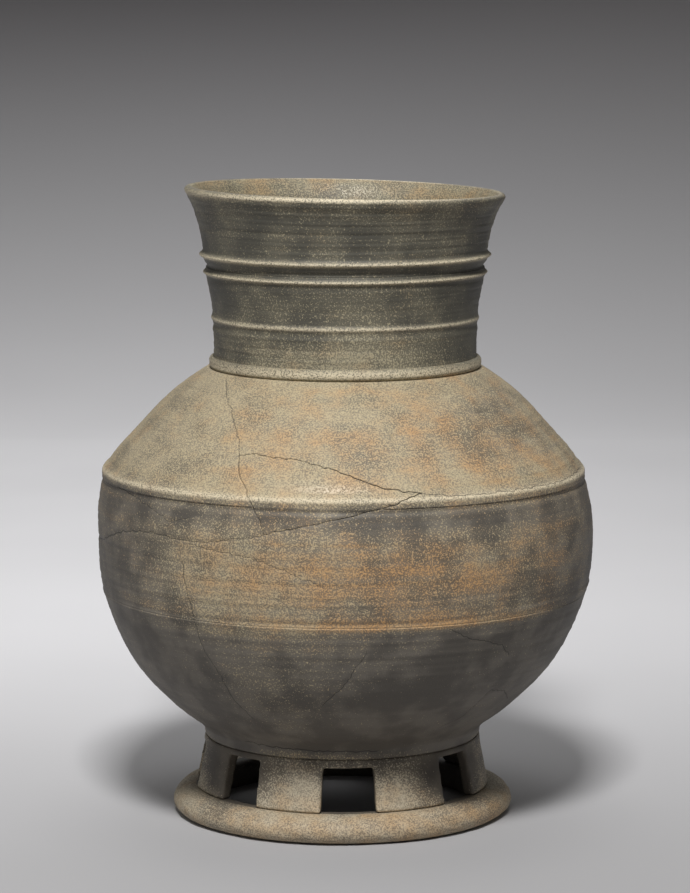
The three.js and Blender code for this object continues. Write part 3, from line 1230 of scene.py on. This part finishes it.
def sherd_tool(margin: float) -> bpy.types.Object:
    """A prism through the front wall in the sherd's outline.

    Each corner moves out along the mean normal of its two edges by the margin.

    Args:
        margin: How much wider than the outline it is all round, in millimetres.

    Returns:
        The closed prism.
    """
    loop = sherd_outline()
    ahead = np.roll(loop, -1, axis=0) - loop
    normal = np.column_stack([ahead[:, 1], -ahead[:, 0]])
    normal = normal / np.linalg.norm(normal, axis=1)[:, None]
    mean = normal + np.roll(normal, 1, axis=0)
    mean = mean / np.linalg.norm(mean, axis=1)[:, None]
    loop = loop + margin * mean
    loop[:, 0] += np.interp(loop[:, 1], LEAN.heights, LEAN.sideways)
    count = len(loop)
    front = np.column_stack([loop[:, 0], np.full(count, PRISM_FRONT), loop[:, 1]])
    back = front + np.array([0, PRISM_DEPTH, 0])
    number = np.arange(count)
    after = np.roll(number, -1)
    sides = np.stack([number, number + count, after + count, after], -1)
    faces = [tuple(row) for row in sides] + [tuple(number), tuple(number[::-1] + count)]
    return tool_of("sherd_tool", np.vstack([front, back]), faces)


@dataclass
class LowerBowl(Ware):
    """The bowl, from its rounded underside to the turning line."""

    spacing: float = 1.15
    front_step: float = 1.15
    back_step: float = 2.0
    hidden_below: float = 42
    relief_from: float = 41
    relief_blend: float = 5
    seam_gap: float = 1
    pole_gap: float = 0.5

    def mesh(self) -> bpy.types.Mesh:
        """The outer line from the pole up to the seam, and the inner one back down to the pole.

        The inner line lies inside the outer one by the wall along its normal. What the foot hides
        has every third point and no relief.

        Returns:
            The mesh, in metres.
        """
        seam = self.ends()[1]
        line = OUTLINE.body_line(self.spacing)
        outer = line[line[:, 1] < seam - END_MARGIN]
        hidden = outer[outer[:, 1] < self.hidden_below][::INNER_STEP]
        shown = outer[outer[:, 1] >= self.hidden_below]
        outer = np.vstack([hidden, shown, [np.interp(seam, line[:, 1], line[:, 0]), seam]])
        along = np.gradient(outer, axis=0)
        normal = np.column_stack([along[:, 1], -along[:, 0]]) / np.hypot(*along.T)[:, None]
        inner = outer - OUTLINE.body_wall * normal
        kept = (inner[:, 1] < seam - self.seam_gap) & (inner[:, 0] > self.pole_gap)
        inner = inner[kept][::-INNER_STEP]
        edge = np.array([outer[-1, 0] - OUTLINE.body_wall, seam])
        edge_line = np.linspace(outer[-1], edge, EDGE_POINTS)[1:]
        pole = np.array([[0, outer[0, 1] + OUTLINE.body_wall]])
        points = np.vstack([outer, edge_line, inner, pole])
        outside = np.zeros(len(points))
        outside[: len(outer)] = np.clip((outer[:, 1] - self.relief_from) / self.relief_blend, 0, 1)
        outside[len(outer): len(outer) + EDGE_POINTS - 1] = np.linspace(1, 0, EDGE_POINTS)[1:]
        return self.turned(Section(points, outside, poles=True))


@dataclass
class Belly(Ware):
    """The widest part, between the turning line and the seam under the ridge, less the sherd."""

    def mesh(self) -> bpy.types.Mesh:
        """The wall between the two seams."""
        outer = between(OUTLINE.body_line(self.spacing), *self.ends())
        return self.turned(wall_section(outer, OUTLINE.body_wall))

    def shape_further(self, piece: bpy.types.Object) -> None:
        """Cuts the sherd's place out."""
        cut(piece, sherd_tool(BREAK_GAP), "DIFFERENCE")


@dataclass
class Shoulder(Ware):
    """The ridge and the slope up to the neck, less the sherd."""

    spacing: float = 0.85
    front_step: float = 0.95
    back_step: float = 1.9

    def mesh(self) -> bpy.types.Mesh:
        """The wall from the seam to the seat of the neck."""
        outer = between(OUTLINE.shoulder_line(self.spacing), *self.ends())
        return self.turned(wall_section(outer, OUTLINE.body_wall))

    def shape_further(self, piece: bpy.types.Object) -> None:
        """Cuts the sherd's place out."""
        cut(piece, sherd_tool(BREAK_GAP), "DIFFERENCE")


@dataclass
class FrontSherd(Ware):
    """The three-sided sherd across the shoulder ridge, glued back a hair proud."""

    spacing: float = 0.6
    proud: float = 0.14
    low: float = 172
    seam: float = 196
    high: float = 230
    reach: Span = (-34, 24)
    columns: int = 230

    def relief(self, azimuth: np.ndarray, height: np.ndarray, radius: np.ndarray) -> np.ndarray:
        """The jar's relief, a little proud."""
        return HANDWORK.relief(azimuth, height, radius) + self.proud

    def mesh(self) -> bpy.types.Mesh:
        """A block of the wall round the sherd: a grid of section by azimuth, closed at both sides.

        Returns:
            The mesh, in metres.
        """
        body = between(OUTLINE.body_line(self.spacing), self.low, self.seam)
        slope = between(OUTLINE.shoulder_line(self.spacing), self.seam, self.high)
        section = wall_section(np.vstack([body[:-1], slope]), OUTLINE.body_wall)
        turns = np.linspace(*self.reach, self.columns)
        grid = turned_grid(section, turns, self).reshape(-1, 3)
        number = np.arange(len(grid)).reshape(len(section.points), len(turns))
        above = np.roll(number, -1, axis=0)
        quads = np.stack([number[:, :-1], number[:, 1:], above[:, 1:], above[:, :-1]], -1).reshape(-1, 4)
        mesh = bpy.data.meshes.new(self.name)
        faces = quads.tolist() + [number[:, 0].tolist(), number[::-1, -1].tolist()]
        mesh.from_pydata((grid * MM).tolist(), [], faces)
        mesh.update()
        mesh.polygons.foreach_set("use_smooth", np.ones(len(mesh.polygons), bool))
        return mesh

    def shape_further(self, piece: bpy.types.Object) -> None:
        """Keeps what lies inside the sherd's outline."""
        cut(piece, sherd_tool(0), "INTERSECT")


@dataclass
class NeckCoil(Ware):
    """The coil of clay pressed round the foot of the neck."""

    gap: float = 0.15
    flatness: float = 0.8
    front_step: float = 0.8
    back_step: float = 1.5
    widest: float = 78
    round_points: int = 19
    back_points: int = 5

    def mesh(self) -> bpy.types.Mesh:
        """A half-round ring: its radius goes by a power of the cosine under one, which flattens it.

        Returns:
            The mesh, in metres.
        """
        low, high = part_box(self.node)
        inner = OUTLINE.neck[0][0] + self.gap
        outer = high.x / MM
        turn = np.linspace(-np.pi / 2, np.pi / 2, self.round_points)
        middle, half = (low.z + high.z) / 2 / MM, (high.z - low.z) / 2 / MM
        round_side = np.column_stack([
            inner + (outer - inner) * np.cos(turn) ** self.flatness, middle + half * np.sin(turn),
        ])
        rows = np.linspace(high.z / MM, low.z / MM, self.back_points + 2)[1:-1]
        points = np.vstack([round_side, np.column_stack([np.full(self.back_points, inner), rows])])
        outside = np.concatenate([np.cos(turn), np.zeros(self.back_points)])
        return self.turned(Section(points, outside))


@dataclass
class Neck(Ware):
    """The neck wall with its low middle ridge and the sharp ridge under the groove."""

    spacing: float = 0.5
    front_step: float = 0.75
    back_step: float = 1.4
    widest: float = 80
    ridges: tuple[tuple[float, float, float], ...] = (
        (0.95, 286.8, 1.5), (0.35, 280.5, 1.6), (1.75, 313, 1.25),
    )

    def mesh(self) -> bpy.types.Mesh:
        """The neck's line with its ridges raised on it, each by how much, its height and its reach.

        Returns:
            The mesh, in metres.
        """
        outer = between(smooth_line(OUTLINE.neck, self.spacing), *self.ends())
        outer[:, 0] += sum(rise * bump(outer[:, 1], at, reach) for rise, at, reach in self.ridges)
        return self.turned(wall_section(outer, OUTLINE.neck_wall))


@dataclass
class Mouth(Ware):
    """The highest ridge over the deep groove, the flare and the rounded lip."""

    spacing: float = 0.55
    front_step: float = 0.8
    back_step: float = 1.4
    widest: float = 90
    ridges: tuple[tuple[float, float, float], ...] = ((2.3, 323, 1.45), (-0.9, 317.4, 1.3))
    lip_width: float = 5.0
    lip_points: int = 10
    lip_flatness: float = 0.7
    lip_inner_relief: float = 0.3

    def mesh(self) -> bpy.types.Mesh:
        """The mouth's line with its ridge and groove, the lip's half-round and the inner side.

        The lip's height goes by a power of the sine under one, which flattens its crown. It takes
        the place of the straight top edge.

        Returns:
            The mesh, in metres.
        """
        low, high = self.ends()
        outer = smooth_line(OUTLINE.mouth, self.spacing)
        outer[0, 1] = low
        outer[:, 0] += sum(rise * bump(outer[:, 1], at, reach) for rise, at, reach in self.ridges)
        section = wall_section(outer, OUTLINE.mouth_wall)
        start, end = len(outer), len(outer) + EDGE_POINTS - 2
        turn = np.linspace(0, np.pi, self.lip_points + 2)[1:-1]
        across = self.lip_width / 2 * (1 - np.cos(turn))
        up = (high - outer[-1, 1]) * np.sin(turn) ** self.lip_flatness
        edge = np.column_stack([outer[-1, 0] - across, outer[-1, 1] + up])
        points = np.vstack([section.points[:start], edge, section.points[end:]])
        fade = np.linspace(1, self.lip_inner_relief, len(edge))
        outside = np.concatenate([section.outside[:start], fade, section.outside[end:]])
        return self.turned(Section(points, outside))


@dataclass
class FootRing(Ware):
    """The thick rolled ring, lumpy where it was pressed down."""

    front_step: float = 0.9
    back_step: float = 1.5
    widest: float = 98
    relief_fade: float = 3
    lumps: tuple[tuple[float, int, float], ...] = ((0.4, 3, 1), (0.24, 7, 2.2), (0.144, 13, 0.5))
    ripple: float = 0.12
    ripple_count: int = 29
    # Each point of a side is how far inside the ring's radius it lies, and its height.
    outer_side: Points = ((9, 0), (4.2, 0.9), (0.8, 3.6), (0, 7.2), (1.3, 10.6), (4.6, 13.4), (9.2, 15.2))
    inner_side: Points = ((21, 13.6), (22, 9), (21, 3), (19, 0))
    top_span: Span = (12.5, 18.5)
    spacing: float = 0.8
    inner_spacing: float = 1.2

    def relief(self, azimuth: np.ndarray, height: np.ndarray, radius: np.ndarray) -> np.ndarray:
        """Thumbed lumps: cosines of a few whole counts round the ring, and a ripple that drifts.

        Args:
            azimuth: Degrees from the front.
            height: Millimetres above the floor.
            radius: The plain radius there. It is not used.

        Returns:
            What they add to the radius.
        """
        turn = np.radians(azimuth)
        lumps = sum(rise * np.cos(count * turn + phase) for rise, count, phase in self.lumps)
        return lumps + self.ripple * np.cos(self.ripple_count * turn + height)

    def mesh(self) -> bpy.types.Mesh:
        """A rounded section: flat below, full outside, sloping to the legs above.

        Returns:
            The mesh, in metres.
        """
        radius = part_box(self.node)[1].x / MM
        top = self.ends()[1]
        near, far = self.top_span
        outer, inner = (
            smooth_line(tuple((radius - inwards, height) for inwards, height in side), spacing)
            for side, spacing in (
                ((*self.outer_side, (near, top)), self.spacing),
                (((far, top), *self.inner_side), self.inner_spacing),
            )
        )
        top_edge = np.linspace(outer[-1], inner[0], EDGE_POINTS)[1:-1]
        bottom_edge = np.linspace(inner[-1], outer[0], EDGE_POINTS + 2)[1:-1]
        points = np.vstack([outer, top_edge, inner, bottom_edge])
        fade = np.clip(np.minimum(outer[:, 1], top - outer[:, 1]) / self.relief_fade, 0, 1)
        outside = np.concatenate([fade, np.zeros(len(points) - len(outer))])
        return self.turned(Section(points, outside))


@dataclass(frozen=True)
class Window:
    """One window of the foot: the azimuth of its middle, its width at the foot and its head's height."""

    turn: float
    width: float
    head: float


@dataclass
class PiercedFoot(Ware):
    """The foot wall with its eight windows, cut by hand with a knife."""

    base_radius: float = 85.8
    top_radius: float = 79.4
    top: float = 45.7
    inner_top: float = 42.9
    wall: float = 7.0
    # Points of radius and height between the ends of each side.
    outer_middle: Points = ((84.4, 21), (82.8, 29), (81.0, 37))
    inner_middle: Points = ((75.6, 32),)
    spacing: float = 1.6
    inner_spacing: float = 2.2
    voxel: float = 1.1
    softness: float = 0.5
    soften_rounds: int = 4
    front_step: float = 1.6
    back_step: float = 1.8
    widest: float = 82
    windows: tuple[Window, ...] = (
        Window(2.6, 33.6, 40.6), Window(52.5, 28.6, 41.5), Window(96.4, 29, 41), Window(140.3, 30.5, 40.5),
        Window(184.2, 29.5, 41), Window(228, 30, 41.2), Window(271.9, 30.5, 40.8), Window(315.8, 28.4, 41.6),
    )
    narrowing: float = 0.7
    tool_depth: float = 4
    tool_reach: Span = (-110, -55)
    tool_spread: tuple[float, float] = (1.2, 55 / 82)

    def relief(self, azimuth: np.ndarray, height: np.ndarray, radius: np.ndarray) -> np.ndarray:
        """The jar's low swells only."""
        return HANDWORK.swell(azimuth, height)

    def mesh(self) -> bpy.types.Mesh:
        """The wall before its windows: slightly drawn in above, with its top on the bowl's slope.

        Returns:
            The mesh, in metres.
        """
        low = self.ends()[0]
        base, top = (self.base_radius, low), (self.top_radius, self.top)
        inner_top, inner_base = (top[0] - self.wall, self.inner_top), (base[0] - self.wall, low)
        outer = smooth_line((base, *self.outer_middle, top), self.spacing)
        inner = smooth_line((inner_top, *self.inner_middle, inner_base), self.inner_spacing)
        bottom = np.linspace(inner[-1], outer[0], EDGE_POINTS - 1)[1:-1]
        points = np.vstack([outer, inner, bottom])
        outside = np.concatenate([np.ones(len(outer)), np.zeros(len(points) - len(outer))])
        return self.turned(Section(points, outside))

    def shape_further(self, piece: bpy.types.Object) -> None:
        """Cuts the windows, then rounds every edge as a wiped knife cut is, by an even remesh.

        Args:
            piece: The foot's whole wall.
        """
        low = self.ends()[0]
        for window in self.windows:
            cut(piece, self.window_tool(window, low - self.tool_depth), "DIFFERENCE")
        remesh = piece.modifiers.new("even", "REMESH")
        remesh.mode = "VOXEL"
        remesh.voxel_size = self.voxel * MM
        remesh.use_smooth_shade = True
        soften = piece.modifiers.new("soften", "SMOOTH")
        soften.factor = self.softness
        soften.iterations = self.soften_rounds
        apply_modifiers(piece)

    def window_tool(self, window: Window, low: float) -> bpy.types.Object:
        """A wedge that is a little narrower at its head and inwards, turned to a window's place.

        Args:
            window: The window.
            low: Height where the wedge starts, in millimetres.

        Returns:
            The closed cutter.
        """
        near, far = self.tool_reach
        wide, slim = self.tool_spread
        head_half = window.width / 2 - self.narrowing
        corners = np.array([
            corner for half, height in ((window.width / 2, low), (head_half, window.head))
            for corner in (
                [-half * wide, near, height], [half * wide, near, height],
                [half * slim, far, height], [-half * slim, far, height],
            )
        ])
        angle = np.radians(window.turn)
        spin = np.array([[np.cos(angle), np.sin(angle), 0], [-np.sin(angle), np.cos(angle), 0], [0, 0, 1]])
        faces = [(0, 3, 2, 1), (4, 5, 6, 7), (0, 1, 5, 4), (1, 2, 6, 5), (2, 3, 7, 6), (3, 0, 4, 7)]
        return tool_of("window_tool", LEAN.apply(corners @ spin), faces)


Place = tuple[float, float, float]


@dataclass(frozen=True)
class Lamp:
    """A square soft box: its place, its side, its power and what it faces, in metres and watts."""

    name: str
    place: Place
    side: float
    power: float
    faces: Place = (0, 0, 0.19)

    def hang(self) -> None:
        """Puts the lamp up."""
        data = bpy.data.lights.new(self.name, "AREA")
        data.size = self.side
        data.energy = self.power
        lamp = bpy.data.objects.new(self.name, data)
        lamp.location = self.place
        aim = Vector(self.faces) - Vector(self.place)
        lamp.rotation_euler = aim.to_track_quat("-Z", "Y").to_euler()
        bpy.context.scene.collection.objects.link(lamp)


@dataclass(frozen=True)
class Studio:
    """The camera at the photograph's angle, the soft lamps, and the pale sweep under the jar, in metres."""

    distance: float = 2.069
    height: float = 0.494
    pitch: float = 7.77
    focal_pixels: float = 3629.0
    frame_height: float = 893.0
    sensor: float = 36.0
    lamps: tuple[Lamp, ...] = (
        Lamp("key", (-0.08, -1.35, 1.92), 0.42, 53),
        Lamp("top", (0.0, 0.3, 2.3), 0.9, 5),
        Lamp("left", (-2.2, -0.9, 0.9), 1.2, 3),
        Lamp("right", (2.2, -0.9, 0.9), 1.2, 0.5),
        Lamp("back", (0.0, 1.5, 1.5), 1.6, 7, (0.0, 1.3, 0.0)),
    )
    world_strength: float = 0.13
    sweep_front: float = -4
    sweep_bend: float = 1.6
    sweep_radius: float = 1.2
    sweep_half: float = 4
    # The sweep's colours paint the lamps' falloff: the floor darker near the camera, the wall darker upwards
    # and towards the right.
    floor_light_span: Span = (-0.25, 0.75)
    near_floor_painted_shade: Colour = srgb(168, 167, 168)
    far_floor_painted_light: Colour = srgb(244, 243, 245)
    wall_shade_height: float = 0.43
    wall_shade_fade: float = 0.5
    wall_painted_shade: Colour = srgb(92, 90, 91)
    right_shade_span: Span = (-0.3, 0.5)
    right_shade_share: float = 0.22
    right_painted_shade: Colour = srgb(112, 110, 110)
    mottle_scale: float = 3
    mottle_detail: float = 2.0
    mottle_span: Span = (0.3, 0.7)
    mottle_share: float = 0.04
    mottle_colour: Colour = srgb(120, 118, 118)
    roughness: float = 0.9

    def camera(self) -> None:
        """Sets the camera; its lens is the sensor's long side times the focal length over the frame."""
        data = bpy.data.cameras.new("photo_view")
        data.sensor_width = self.sensor
        data.lens = self.sensor * self.focal_pixels / self.frame_height
        data.clip_end = 50
        camera = bpy.data.objects.new("photo_view", data)
        camera.location = (0, -self.distance, self.height)
        camera.rotation_euler = (np.radians(90 - self.pitch), 0, 0)
        bpy.context.scene.collection.objects.link(camera)
        bpy.context.scene.camera = camera

    def lights(self) -> None:
        """The key high in front, weak lamps above and at both sides, one on the backdrop, a dim world."""
        for lamp in self.lamps:
            lamp.hang()
        world = bpy.data.worlds.new("studio")
        world.use_nodes = True
        shade = world.node_tree.nodes["Background"]
        shade.inputs["Color"].default_value = (1, 1, 1, 1)
        shade.inputs["Strength"].default_value = self.world_strength
        bpy.context.scene.world = world

    def sweep(self) -> None:
        """A seamless floor and backdrop: a grid whose section is flat, then a sixth of a circle."""
        turn = np.linspace(0, np.pi / 3, 25)
        along = self.sweep_bend + self.sweep_radius * np.sin(turn)
        curve = np.column_stack([along, self.sweep_radius * (1 - np.cos(turn))])
        line = np.vstack([[self.sweep_front, 0], [0, 0], curve])
        across, along = np.meshgrid(np.linspace(-self.sweep_half, self.sweep_half, 9), line[:, 0])
        grid = np.stack([across, along, np.repeat(line[:, 1:2], across.shape[1], axis=1)], -1)
        number = np.arange(across.size).reshape(across.shape)
        quads = np.stack([number[:-1, :-1], number[:-1, 1:], number[1:, 1:], number[1:, :-1]], -1)
        mesh = mesh_of("sweep", grid.reshape(-1, 3), quads.reshape(-1, 4), np.empty((0, 3), int))
        mesh.materials.append(self.paper_with_painted_light())
        floor = bpy.data.objects.new("sweep", mesh)
        bpy.context.scene.collection.objects.link(floor)

    def paper_with_painted_light(self) -> bpy.types.Material:
        """The sweep's grey, with painted light and shade: paler away from the camera, darker up the wall and
        towards the right, where the lamps' light falls off.

        The share of the wall's painted shade is a power of the height over that of the frame's top.

        Returns:
            The sweep's material.
        """
        nodes = Graph("paper_with_painted_light")
        place = nodes.add("ShaderNodeTexCoord").outputs["Object"]
        split = nodes.add("ShaderNodeSeparateXYZ")
        nodes.link(place, split.inputs["Vector"])
        # Painted light and shade: the floor paler away from the camera, then the wall darker upwards and the
        # right side darker.
        far = nodes.step(split.outputs["Y"], *self.floor_light_span)
        paper_with_painted_light = nodes.mix(far, self.near_floor_painted_shade, self.far_floor_painted_light)
        height = nodes.math("MAXIMUM", nodes.math("DIVIDE", split.outputs["Z"], self.wall_shade_height), 0.0)
        back = nodes.math("MINIMUM", nodes.math("POWER", height, self.wall_shade_fade), 1.0)
        paper_with_painted_light = nodes.mix(back, paper_with_painted_light, self.wall_painted_shade)
        right = nodes.step(split.outputs["X"], *self.right_shade_span, 0.0, self.right_shade_share)
        paper_with_painted_light = nodes.mix(right, paper_with_painted_light, self.right_painted_shade)
        mottle = nodes.noise(place, self.mottle_scale, self.mottle_detail)
        faint = nodes.step(mottle, *self.mottle_span, 0.0, self.mottle_share)
        paper_with_painted_light = nodes.mix(faint, paper_with_painted_light, self.mottle_colour)
        nodes.link(paper_with_painted_light, nodes.shader.inputs["Base Color"])
        nodes.shader.inputs["Roughness"].default_value = self.roughness
        return nodes.material


def pieces() -> list[Ware]:
    """The jar's pieces from the floor up, each with its node, its slot and its finish.

    Returns:
        The pieces.
    """
    return [
        FootRing("foot_ring_ware", "foot_ring", "pale_stoneware", FOOT_FINISH),
        PiercedFoot("pierced_foot_ware", "pierced_foot", "dark_stoneware", FOOT_FINISH),
        LowerBowl("lower_bowl_ware", "lower_bowl", "dark_stoneware", BODY_FINISH),
        Belly("belly_ware", "belly", "ashed_stoneware", BODY_FINISH),
        FrontSherd("front_sherd_ware", "front_sherd", "ashed_stoneware", BODY_FINISH),
        Shoulder("shoulder_ware", "shoulder", "ashed_stoneware", BODY_FINISH),
        NeckCoil("neck_coil_ware", "neck_coil", "pale_stoneware", NECK_FINISH),
        Neck("neck_ware", "neck", "neck_stoneware", NECK_FINISH),
        Mouth("mouth_ware", "mouth", "neck_stoneware", NECK_FINISH),
    ]


def main() -> None:
    """Sets the studio, then builds and dresses every piece in order."""
    logging.basicConfig(level=logging.INFO, format="%(name)s: %(message)s")
    studio = Studio()
    studio.camera()
    studio.lights()
    studio.sweep()
    bpy.context.scene.view_settings.view_transform = "Standard"
    finishes = (BODY_FINISH, NECK_FINISH, FOOT_FINISH)
    materials = {finish.name: finish.material() for finish in finishes}
    for piece in pieces():
        piece.make(materials)


if __name__ == "__main__":
    main()
